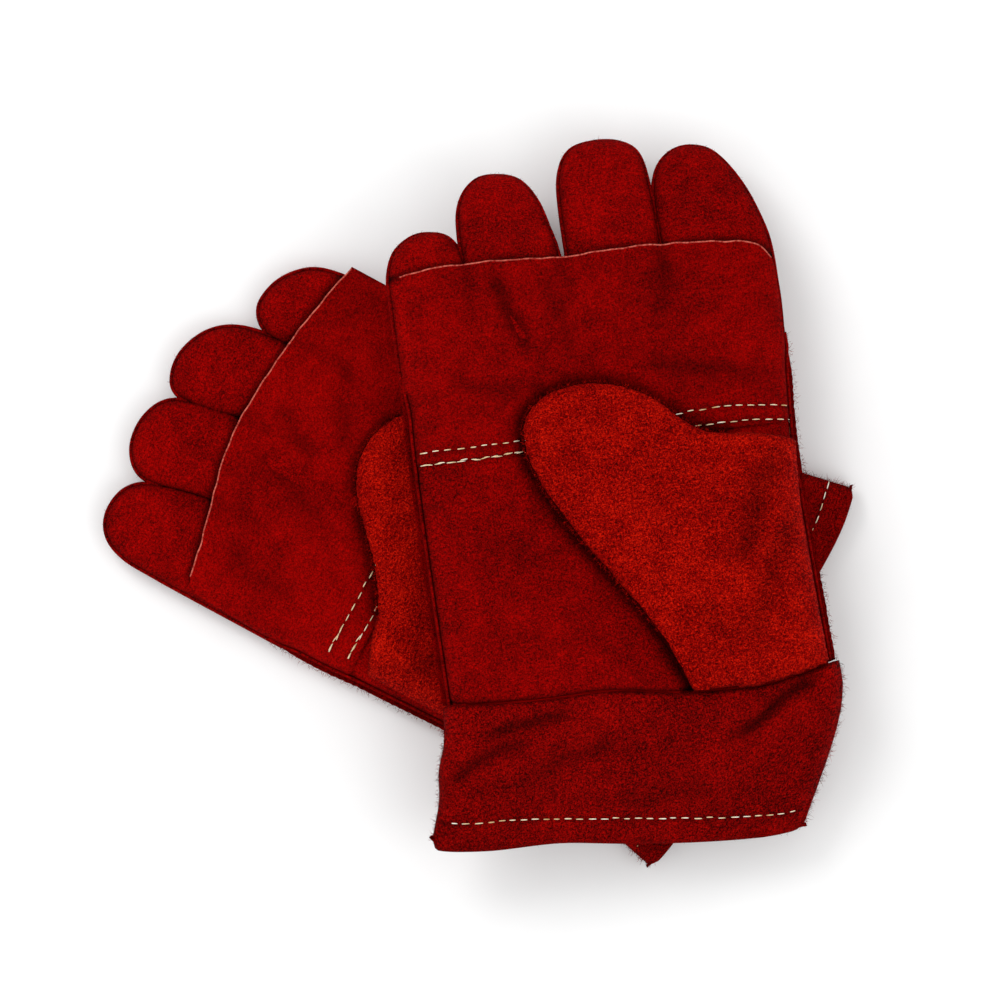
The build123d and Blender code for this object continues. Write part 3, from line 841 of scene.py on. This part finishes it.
def fingerPieces(side, name):
    body = side + "_" + name
    line = curve(fingers[side][name], 1.2)
    base = evenly(np.array([line[-1], line[0]]), 1.4)
    ring = joined(line, base)
    flat, faces = filled(ring, 1.4)
    gap = nearest(flat, line, False)[0]
    u, v = flat.T
    middle = gloves[side]["thick"] - fingers["deep"]
    start = lay(side, np.mean(line[:, 0]), fingers["blendFrom"], middle)
    end = lay(side, np.mean(line[:, 0]), fingers["blendTo"], middle)
    front = fingerTop(side, name, gap, u, v)
    # painted shade along the finger's edges and under the patch's free edge
    fromPatch = nearest(flat, curve(patches[side]["free"]), False)[0]
    shade = paintedShade(gap, "fingerEdge") + paintedShade(fromPatch, "underPatch")
    under = fingerUnder(side, gap, v)
    halves = {"Front": (front, False), "Back": (under, True)}
    for part, (z, flip) in halves.items():
        cut = flat + [0, 90 if flip else 0]
        made = piece(side, name + part, lay(side, u, v, z), faces, "hand", cut, flip, shade=shade)
        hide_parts(body + "_" + part.lower())
        cloth(ring)
        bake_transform(made)
    lining(side, name, ring, flat, faces, gap)
    bare = line[:, 1] > 150
    roots = np.column_stack([line, np.full(len(line), middle + 1.0)])
    hairs = fuzz(side, name + "Fuzz", roots[bare], awayFrom(line, ring)[bare], "hand", 3.5, (0.5, 1.6))
    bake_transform(hairs)
    # the strip between front and back, all round the finger
    rows = 7
    t = np.linspace(0, 1, rows)
    bulge = 0.45 * np.sin(math.pi * t)
    ends = (seamAt(side, line[:, 1])[None] + 1.2 - 2.4 * t[:, None]).ravel()
    out = outward(ring)[:len(line)]
    out = np.vstack([out, out[-1:]])[:len(line)]
    strip = line[None] + out[None] * (bulge - 0.3)[:, None, None]
    spots = lay(side, strip[..., 0].ravel(), strip[..., 1].ravel(), ends)
    run = np.arange(len(line)) * 1.2
    cut = np.stack([np.tile(run, rows), np.repeat(t * 3, len(line)) + 400], 1)
    made = piece(side, name + "Fourchette", spots, gridFaces(rows, len(line)), "hand", cut, True, 1.0)
    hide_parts(body + "_fourchette")
    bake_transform(made)


def lining(side, name, ring, flat, faces, gap):
    u, v = flat.T
    deep = 2.6
    high = fingerTop(side, name, gap, u, v) - deep
    low = fingerUnder(side, gap, v) + deep
    inner = within(flat, grown(ring, -2.8)) & (gap > 3.0)
    used, few = trimmed(flat, faces, inner)
    spots = np.vstack([lay(side, u[used], v[used], z[used]) for z in (high, low)])
    n = len(used)
    both = np.vstack([few, few[:, ::-1] + n])
    made = piece(side, name + "Lining", spots, both, "fleece", None, False, 0.8)
    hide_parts(side + "_" + name + "_lining")
    area(ring) * 1.35
    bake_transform(made)


thumbs = {
    "right": {
        "free": [(17.6, -4.6), (7.2, 19.6), (-8.7, 44), (-19.4, 60), (-29.0, 78), (-33.4, 92), (-32.2, 103),
                 (-24, 110.6), (-12, 113.2), (-1.4, 112.4), (8, 109.4), (17, 104.0), (26, 95.6),
                 (33.4, 90.6), (41, 88.9)],
        "heelTop": [(41, 89.3), (50, 88.4), (60, 86.2), (68.2, 83.6)],
        "side": [(68.2, 83.6), (67.2, 60), (68.4, 30), (70.4, 0.4)],
        "wrist": [(70.4, 0.4), (60, -2.4), (44, -5.2), (30, -5.0), (17.6, -4.6)],
        "creases": [([(64, 82), (52, 70), (46, 54), (36, 36)], 4.5, 1.2),
                    ([(67, 62), (54, 42), (46, 22), (40, 6)], 4.0, 0.9),
                    ([(20, 30), (30, 20), (44, 12)], 5, 0.5)],
    },
    "left": {
        "free": [(18.4, -1.5), (6, 22), (-9, 46), (-22, 68), (-30.5, 90), (-31.5, 106), (-27, 118),
                 (-16, 124), (-4, 124.4), (7, 119.5), (17, 111), (27, 101.8), (36, 95.6), (42, 92.4)],
        "heelTop": [(42, 92.4), (52, 90), (60, 87), (66, 84.6)],
        "side": [(66, 84.6), (66.2, 60), (66.6, 30), (68.2, 0)],
        "wrist": [(68.2, 0), (45, -2), (18.4, -1.5)],
        "creases": [([(60, 74), (44, 60), (36, 40)], 4.5, 0.9)],
    },
    "hinge": ((18.4, 2.0), (40.8, 89.3)),
    "under": 2.9,  # its underside over the palm
    "rise": 7.6,  # its top over the palm
    "slope": 0.06,
    "round": 13.0,
    "lip": 4.0,
    "furrowShade": 0.34,
}


def thumbLines(side):
    facts = thumbs[side]
    return [curve(facts[name]) for name in ("free", "heelTop", "side", "wrist")]


def thumbTop(side, u, v):
    top = gloves[side]["thick"]
    free, heelTop, seam, wrist = thumbLines(side)
    points = pairs(u, v)
    edge, heel, beside, below = (nearest(points, line, False)[0] for line in (free, heelTop, seam, wrist))
    u, v = points.T
    full = top + thumbs["rise"] + thumbs["slope"] * v
    z = top + thumbs["under"] + 2.2 + (full - top - thumbs["under"] - 2.2) * rounded(edge / thumbs["round"])
    z = lower(z, top + 1.0 + (full - top - 1.0) * rounded(heel / 9))
    z = lower(z, seamZ + 1.4 + (full - seamZ - 1.4) * rounded(beside / 22), 2.5)
    z = lower(z, top - 1.4 + (full - top + 1.4) * rounded(below / 20), 2.0)
    return z + swell(u, v, "thumb") * smooth(edge / 6) + furrows(u, v, thumbs[side]["creases"])


def thumbPieces(side):
    free, heelTop, seam, wrist = thumbLines(side)
    ring = joined(free, heelTop, seam, wrist)
    lip = thumbs["lip"]
    outer = grown(ring, lip)
    flat, faces = filled(outer, 1.5)
    spots, _, drop = rolled(flat, ring, lip)
    # the free edge and the top of the heel roll under
    loose = np.minimum(*(nearest(flat, x, False)[0] for x in (free, heelTop))) < np.minimum(
        *(nearest(flat, x, False)[0] for x in (seam, wrist)))
    keep = within(flat, ring) | loose | (nearest(flat, ring)[0] < 0.3)
    used, faces = trimmed(flat, faces, keep)
    flat, spots, drop = flat[used], spots[used], drop[used]
    z = thumbTop(side, spots[:, 0], spots[:, 1])
    z = np.where(drop > 0, thumbTop(side, *nearest(flat, ring)[1].T) - drop, z)
    # painted shade by the heel's seams, in the furrows, and on the lip as it rolls under
    shade = paintedShade(np.minimum(nearest(flat, heelTop, False)[0], nearest(flat, wrist, False)[0]), "thumbHeel")
    shade = shade - thumbs["furrowShade"] * furrows(*flat.T, thumbs[side]["creases"])
    made = piece(side, "thumbFront", lay(side, spots[:, 0], spots[:, 1], z), faces, "thumb", flat,
                 shade=shade + np.clip(drop / 5, 0, 0.6))
    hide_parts(side + "_thumb_front", side + "_thumb_gusset")
    cloth(outer)
    foot, head = np.array(thumbs["hinge"])
    along = (head - foot) / np.linalg.norm(head - foot)
    across = np.array([-along[1], along[0]])
    middle = (foot + head) / 2
    high = gloves[side]["thick"] + thumbs["rise"]
    start = lay(side, *(middle - across * 4), high)
    end = lay(side, *(middle + across * 12), high)
    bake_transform(made)
    line = curve(thumbs[side]["free"][1:], 1.0)
    out = awayFrom(line, ring)
    z = thumbTop(side, *line.T) - 0.6
    hairs = fuzz(side, "thumbFuzz", np.column_stack([line + out * 0.3, z]), out, "thumb", 5.0, (0.5, 1.5))
    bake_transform(hairs)
    # underside, from just behind the hinge line to the edge
    inner = grown(ring, -0.8)
    flat, faces = filled(inner, 1.8)
    gone = (flat - middle) @ across
    used, faces = trimmed(flat, faces, gone > -7)
    flat, gone = flat[used], gone[used]
    edge = nearest(flat, free, False)[0]
    top = gloves[side]["thick"]
    z = top + thumbs["under"] + 0.9 - 1.0 * rounded(edge / 9)
    z = z - 1.2 * smooth((2 - gone) / 8) * smooth((patches["low"] - flat[:, 1]) / 6)
    made = piece(side, "thumbBack", lay(side, *flat.T, z), faces, "thumb", flat + [0, 140], True, 1.2)
    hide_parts(side + "_thumb_back")
    cloth(ring[(ring - middle) @ across > -7])
    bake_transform(made)
    inner = grown(ring, -4.5)
    flat, faces = filled(inner, 2.2)
    gone = (flat - middle) @ across
    used, faces = trimmed(flat, faces, (gone > 1) & (flat[:, 1] > 16))
    flat = flat[used]
    z = np.maximum(thumbTop(side, *flat.T) - 3.0, top + thumbs["under"] + 2.6)
    low = np.full(len(flat), top + thumbs["under"] + 1.8)
    spots = np.vstack([lay(side, *flat.T, z), lay(side, *flat.T, low)])
    faces = np.vstack([faces, faces[:, ::-1] + len(flat)])
    made = piece(side, "thumbLining", spots, faces, "fleece", None, False, 0.4)
    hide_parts(side + "_thumb_lining")
    2 * area(ring[(ring - middle) @ across > 1]) * 0.75
    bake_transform(made)


cuffs = {
    "right": {
        "left": [(-74.4, 0.6), (-75.6, -12), (-78.5, -22), (-79.5, -33), (-83.2, -46)],
        "right": [(74.2, 0.6), (74.6, -9), (72.4, -20), (67, -34), (55.6, -58.4)],
        "mouth": [(-83.2, -45), (-80, -48.8), (-62, -51.2), (-36, -51.8), (-10, -55.4), (15, -58.2),
                  (40, -59.6), (55.6, -58.4)],
        "creases": [([(-66, -12), (-48, -9), (-24, -6)], 3.2, 1.5),
                    ([(-80, -30), (-62, -19), (-42, -14)], 3.6, 1.3),
                    ([(-50, -34), (-34, -24), (-8, -19)], 4.5, 0.9),
                    ([(70, -3), (52, -10), (40, -19), (26, -25)], 3.4, 1.9),
                    ([(-20, -44), (10, -40), (34, -44)], 6, 0.5)],
        "hem": [(-81, -40.5), (-72, -42.4), (-48, -43.6), (-13, -47.6), (20, -51.5), (46, -53.4),
                (54.6, -52.6)],
    },
    "left": {
        "left": [(-73.4, 0.6), (-75, -12), (-77, -24), (-80.6, -43.5)],
        "right": [(71, 0.6), (73, -12), (76, -26), (79.8, -41.5)],
        "mouth": [(-80.6, -43.5), (-60, -46), (-20, -45), (30, -46), (64, -44.5), (79.8, -41.5)],
        "creases": [([(-70, -20), (-50, -26), (-30, -38)], 3.5, 1.2),
                    ([(70, -18), (56, -26), (40, -40)], 3.5, 1.4)],
        "hem": [(-79, -35), (-60, -37.5), (-20, -36.5), (30, -37.5), (64, -36), (75.5, -34.2)],
    },
    "edgeRound": 9.0,
    "roll": 1.7,  # radius of the turned mouth
    "hemWide": 9.0,
    "furrowShade": 0.42,
}


def cuffHeight(side, u, v, inset, upper):
    top = gloves[side]["thick"]
    if upper:
        z = seamZ + 0.2 + (top - seamZ - 0.4) * rounded(inset / cuffs["edgeRound"])
        z = lower(z, top * 0.84 + top * 0.16 * rounded((seamV(side, u) - v) / 10))
    else:
        z = (seamZ - 0.5) * (1 - rounded(inset / cuffs["edgeRound"])) + 0.25
    bulge = swell(u, v, "cuff", upper) * smooth(inset / 7) * smooth(-v / 10)
    if upper:
        return z + bulge - 0.4 * smooth(-v / 20) + furrows(u, v, cuffs[side]["creases"])
    return z if side == "left" else z + np.abs(bulge) * 0.6


def cuffShade(side, u, v, inset):
    # painted shade by the wrist seam, the sides, the hem stitching and in the furrows
    shade = paintedShade(v - seamV(side, u), "cuffWrist") + paintedShade(inset, "cuffSide")
    shade = shade + paintedShade(nearest(pairs(u, v), curve(cuffs[side]["hem"]), False)[0], "hemStitch")
    return shade - cuffs["furrowShade"] * furrows(u, v, cuffs[side]["creases"], 0.75)


def cuffGrid(side, across, down):
    facts = cuffs[side]
    left, right, mouth = (curve(facts[name], 0.8) for name in ("left", "right", "mouth"))
    wrist = curve(hands[side]["wrist"], 0.8) - [0, 0.4]
    wrist[0], wrist[-1] = facts["left"][0], facts["right"][0]

    def at(line, t):
        run = np.linspace(0, 1, len(line))
        return np.stack([np.interp(t, run, line[:, 0]), np.interp(t, run, line[:, 1])], -1)
    s, t = np.meshgrid(across, down)
    sides = at(left, t) * (1 - s)[..., None] + at(right, t) * s[..., None]
    ends = at(wrist, s) * (1 - t)[..., None] + at(mouth, s) * t[..., None]
    corners = ((wrist[0] * (1 - s)[..., None] + wrist[-1] * s[..., None]) * (1 - t)[..., None]
               + (mouth[0] * (1 - s)[..., None] + mouth[-1] * s[..., None]) * t[..., None])
    return sides + ends - corners


def cuffPieces(side):
    facts = cuffs[side]
    across = np.sort(np.concatenate([np.linspace(0, 1, 96), [0.002, 0.006, 0.994, 0.998]]))
    down = np.linspace(0, 1, 38)
    flat = cuffGrid(side, across, down)
    rows, columns = flat.shape[:2]
    wide = np.linalg.norm(flat[:, -1] - flat[:, 0], axis=1)
    inset = np.minimum(across, 1 - across)[None] * wide[:, None]
    roll = cuffs["roll"]
    turn = np.linspace(0, math.pi, 8)[1:]
    outMouth = flat[-1] - flat[-2]
    outMouth /= np.linalg.norm(outMouth, axis=1)[:, None]
    wristLine = evenly(np.array([facts["right"][0], facts["left"][0]]), 1.5)
    mouthRing = joined(curve(facts["left"], 1.5), curve(facts["mouth"], 1.5),
                       curve(facts["right"][::-1], 1.5), wristLine)
    for upper, name, node in ((True, "cuffPalm", "cuff_palm"), (False, "cuffBack", "cuff_back")):
        z = cuffHeight(side, flat[..., 0], flat[..., 1], inset, upper)
        sign = -1 if upper else 1
        edge = smooth(inset[-1] / 4)
        spots = [flat.reshape(-1, 2)]
        heights = [z.ravel()]
        for a in turn:
            spots.append(flat[-1] + outMouth * (roll * math.sin(a) * (0.15 + 0.85 * edge))[:, None])
            heights.append(z[-1] + sign * roll * (1 - math.cos(a)) * edge)
        spots, heights = np.vstack(spots), np.concatenate(heights)
        count = rows + len(turn)
        along = -np.repeat(np.arange(count) * 1.45, columns) + (0 if upper else 220)
        cut = pairs(np.tile(across * 150, count), along)
        shade = cuffShade(side, *spots.T, np.concatenate([inset.ravel(), np.tile(inset[-1], len(turn))]))
        faces = gridFaces(count, columns)[:, ::-1]
        made = piece(side, name, lay(side, *spots.T, heights), faces, "cuff", cut, not upper, 1.3,
                     shade=shade)
        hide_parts(side + "_" + node)
        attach(made, side + "_hand")
        cloth(mouthRing)
    # the hem, turned in behind the mouth, above and below
    inner = np.linspace(1, 1 - cuffs["hemWide"] / 54, 8)
    flat = cuffGrid(side, across[3:-3], inner)
    parts, faces = [], []
    for upper in (True, False):
        gaps = np.minimum(across, 1 - across)[3:-3][None] * wide[-8:][::-1, None]
        z = cuffHeight(side, flat[..., 0], flat[..., 1], gaps, upper)
        z = z + (-1 if upper else 1) * 2 * roll * smooth(gaps / 4)
        grid = gridFaces(8, flat.shape[1])
        faces.append((grid if upper else grid[:, ::-1]) + len(faces) * flat.shape[0] * flat.shape[1])
        parts.append(lay(side, flat[..., 0].ravel(), flat[..., 1].ravel(), z.ravel()))
    cut = pairs(np.tile(across[3:-3] * 150, 16), np.repeat(np.arange(16) * 1.3, flat.shape[1]) + 320)
    made = piece(side, "cuffHem", np.vstack(parts), np.vstack(faces), "cuff", cut, True, 1.0)
    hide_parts(side + "_cuff_hem")
    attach(made, side + "_hand")


def cuffTop(side, u, v):
    spots = pairs(u, v)
    inset = np.minimum(*(nearest(spots, curve(cuffs[side][edge]), False)[0] for edge in ("left", "right")))
    return cuffHeight(side, u, v, inset, True)


def squared(t, power):  # a sine or cosine with squarer corners
    return np.sign(t) * np.abs(t) ** power


def handLining(side):
    rows = np.concatenate([np.linspace(4, 112, 34), [116, 118.5, 120]])
    around = np.arange(72) / 72 * 2 * math.pi
    spots = []
    for v in rows:
        left, right = sidesAt(side, v)
        close = rounded((121 - v) / 9)
        half = (right - left) / 2 - 6
        u = (left + right) / 2 + half * squared(np.cos(around), 0.35)
        tall = (gloves[side]["thick"] / 2 - 4.6) * (0.7 + 0.3 * rounded(v / 25))
        w = gloves[side]["thick"] / 2 - 1 + (tall - 1) * close * squared(np.sin(around), 0.7)
        spots.append(np.stack([u, np.full(72, v), w], 1))
    spots = np.vstack(spots)
    faces = gridFaces(len(rows), 72, True)
    made = piece(side, "handLining", lay(side, *spots.T), faces, "fleece", None, False, 0.9)
    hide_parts(side + "_hand_lining")
    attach(made, side + "_hand")


def welts(side):
    # a narrow strip stands in each side seam, and one lies in the wrist seam
    little, thumb = sideLines(side)
    spots, faces = [], []
    lines = []
    for line, way in ((little[::-1], 1), (thumb, -1)):
        lines.append((shifted(line, way * np.maximum(bandAt(line[:, 1]) - 0.6, 0.9)), way))
    for line, way in lines:
        n = len(line)
        lift = seamZ + 0.6 + 1.3 * smooth((line[:, 1] - 84) / 5)
        base = sum(len(p) for p in spots)
        profile = [(0.0, -3.6), (0.0, 0.9), (0.35, 1.35), (0.8, 1.35), (1.15, 0.9), (1.15, -3.6)]
        for across, up in profile:
            spots.append(np.stack([line[:, 0] + way * (across - 0.6), line[:, 1], lift + up], 1))
        grid = gridFaces(len(profile), n) + base
        faces.append(grid if way > 0 else grid[:, ::-1])
    wrist = curve(hands[side]["wrist"], 1.2)[3:-3]
    base = sum(len(p) for p in spots)
    z = np.minimum(palmTop(side, *(wrist + [0, 0.5]).T), gloves[side]["thick"] * 0.84) - 0.4
    for across, up in [(-0.7, -1.2), (-0.7, -0.3), (-0.3, 0.0), (0.3, 0.0), (0.7, -0.3), (0.7, -1.2)]:
        spots.append(np.stack([wrist[:, 0], wrist[:, 1] + across, z + up], 1))
    faces.append(gridFaces(6, len(wrist))[:, ::-1] + base)
    spots = np.vstack(spots)
    made = piece(side, "seamWelts", lay(side, *spots.T), np.vstack(faces), "hand",
                 np.stack([spots[:, 1], spots[:, 2] * 3], 1), True, 0.5)
    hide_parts(side + "_seam_welts")
    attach(made, side + "_hand")


def fringes(side):
    ride = side + "_hand"
    facts = cuffs[side]
    left, right, mouth = (curve(facts[key], 1.0) for key in ("left", "right", "mouth"))
    ring = np.vstack([left[:-1], mouth[:-1], right[::-1]])
    out = outward(joined(left, mouth, right[::-1], np.array([right[0], left[0]])))[:len(ring) - 1]
    z = np.full(len(out), seamZ) * (1 + 0.3 * np.sin(np.arange(len(out)) * 0.7))
    roots = np.column_stack([ring[:len(out)] - out * 0.3, z])
    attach(fuzz(side, "cuffFuzz", roots, out, "cuff", 4.0, (0.8, 2.6)), ride)
    little, thumb = sideLines(side)
    for name, line, way in (("littleFuzz", little, -1), ("thumbSideFuzz", thumb, 1)):
        out = np.tile([way, 0.0], (len(line), 1))
        roots = np.column_stack([line, np.full(len(line), seamZ - 0.5)])
        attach(fuzz(side, name, roots, out, "hand", 2.6), ride)


print("placing the gloves")
for side in gloves:
    placeGlove(side)
for side in gloves:
    print("hand of the", side, "glove")
    handBack(side)
    palmFront(side)
    patch(side)
    handLining(side)
    welts(side)
    print("fingers of the", side, "glove")
    for name in ("little", "ring", "middle", "index"):
        fingerPieces(side, name)
    print("thumb of the", side, "glove")
    thumbPieces(side)
    print("cuff of the", side, "glove")
    cuffPieces(side)
    print("stitching of the", side, "glove")
    sewn(side, "patchStitching", stitches[side], lambda u, v, side=side: patchTop(side, u, v),
         side + "_patch_stitching", side + "_hand")
    sewn(side, "hemStitching", [(cuffs[side]["hem"], False)], lambda u, v, side=side: cuffTop(side, u, v),
         side + "_hem_stitching", side + "_hand")
print("fringes")
for side in gloves:
    fringes(side)


studio = {
    "lens": 300.0,
    "aim": (0.0089, 0.0011, 0.042),
    "far": 3.09,
    "world": 0.95,
    # place, size and power
    "lights": {"key": ((-0.9, 1.0, 1.5), 0.9, 13.0), "fill": ((1.1, -0.7, 1.4), 1.2, 5.0)},
}


def stage():
    bpy.ops.object.select_all(action="DESELECT")
    bpy.ops.mesh.primitive_plane_add(size=6, location=(0, 0, -0.0006))
    floor = bpy.context.object
    floor.name = "floor"
    f = Finish("paleFloor", Roughness=0.8, Specular_IOR_Level=0.1)
    speck = f.noise(f.node("ShaderNodeTexCoord", {}, {}, 3), 40, 2)
    f.link(f.colours(speck, (0.0, (0.88, 0.88, 0.88)), (1.0, (0.93, 0.93, 0.93))), "Base Color")
    floor.data.materials.append(f.material)
    world = bpy.data.worlds.new("studio")
    bpy.context.scene.world = world
    world.use_nodes = True
    world.node_tree.nodes["Background"].inputs[0].default_value = (1, 1, 1, 1)
    world.node_tree.nodes["Background"].inputs[1].default_value = studio["world"]
    for name, (place, size, power) in studio["lights"].items():
        bpy.ops.object.light_add(type="AREA", location=place)
        light = bpy.context.object
        light.name = name
        light.data.energy, light.data.size = power, size
        light.rotation_euler = (Vector((0, 0, 0)) - Vector(place)).to_track_quat("-Z", "Y").to_euler()
    x, y, z = studio["aim"]
    bpy.ops.object.camera_add(location=(x, y, z + studio["far"]), rotation=(0, 0, 0))
    camera = bpy.context.object
    camera.data.lens, camera.data.clip_end = studio["lens"], 20
    bpy.context.scene.camera = camera
    bpy.context.scene.view_settings.view_transform = "Standard"


print("studio")
stage()
